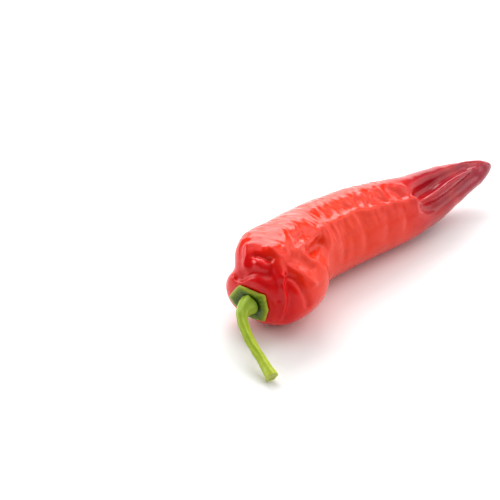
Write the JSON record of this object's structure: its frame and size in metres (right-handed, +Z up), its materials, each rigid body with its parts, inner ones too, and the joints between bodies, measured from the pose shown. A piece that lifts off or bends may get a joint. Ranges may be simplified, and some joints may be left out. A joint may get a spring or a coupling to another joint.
{
  "type": "pointed sweet pepper",
  "caption": "Long pointed red sweet pepper lying on its side, with furrowed tip, dented bend, green calyx and curved cut stem.",
  "frame": {"origin": "on the table the pepper lies on, under the middle of its bounding box", "axes": "+X from the calyx towards the tip, +Z up, the body bends towards +Y and the stem sways towards -Y"},
  "size_m": [0.2218, 0.0662, 0.0444],
  "materials": {
    "pepper_skin": "glossy waxy skin, deep red, darker at the tip",
    "calyx_green": "satin leafy green",
    "stem_green": "satin, ribbed, paler at the cut end"
  },
  "bodies": {
    "root": {"fruit": "pepper_skin", "calyx": "calyx_green", "stem": "stem_green"}
  },
  "joints": []
}
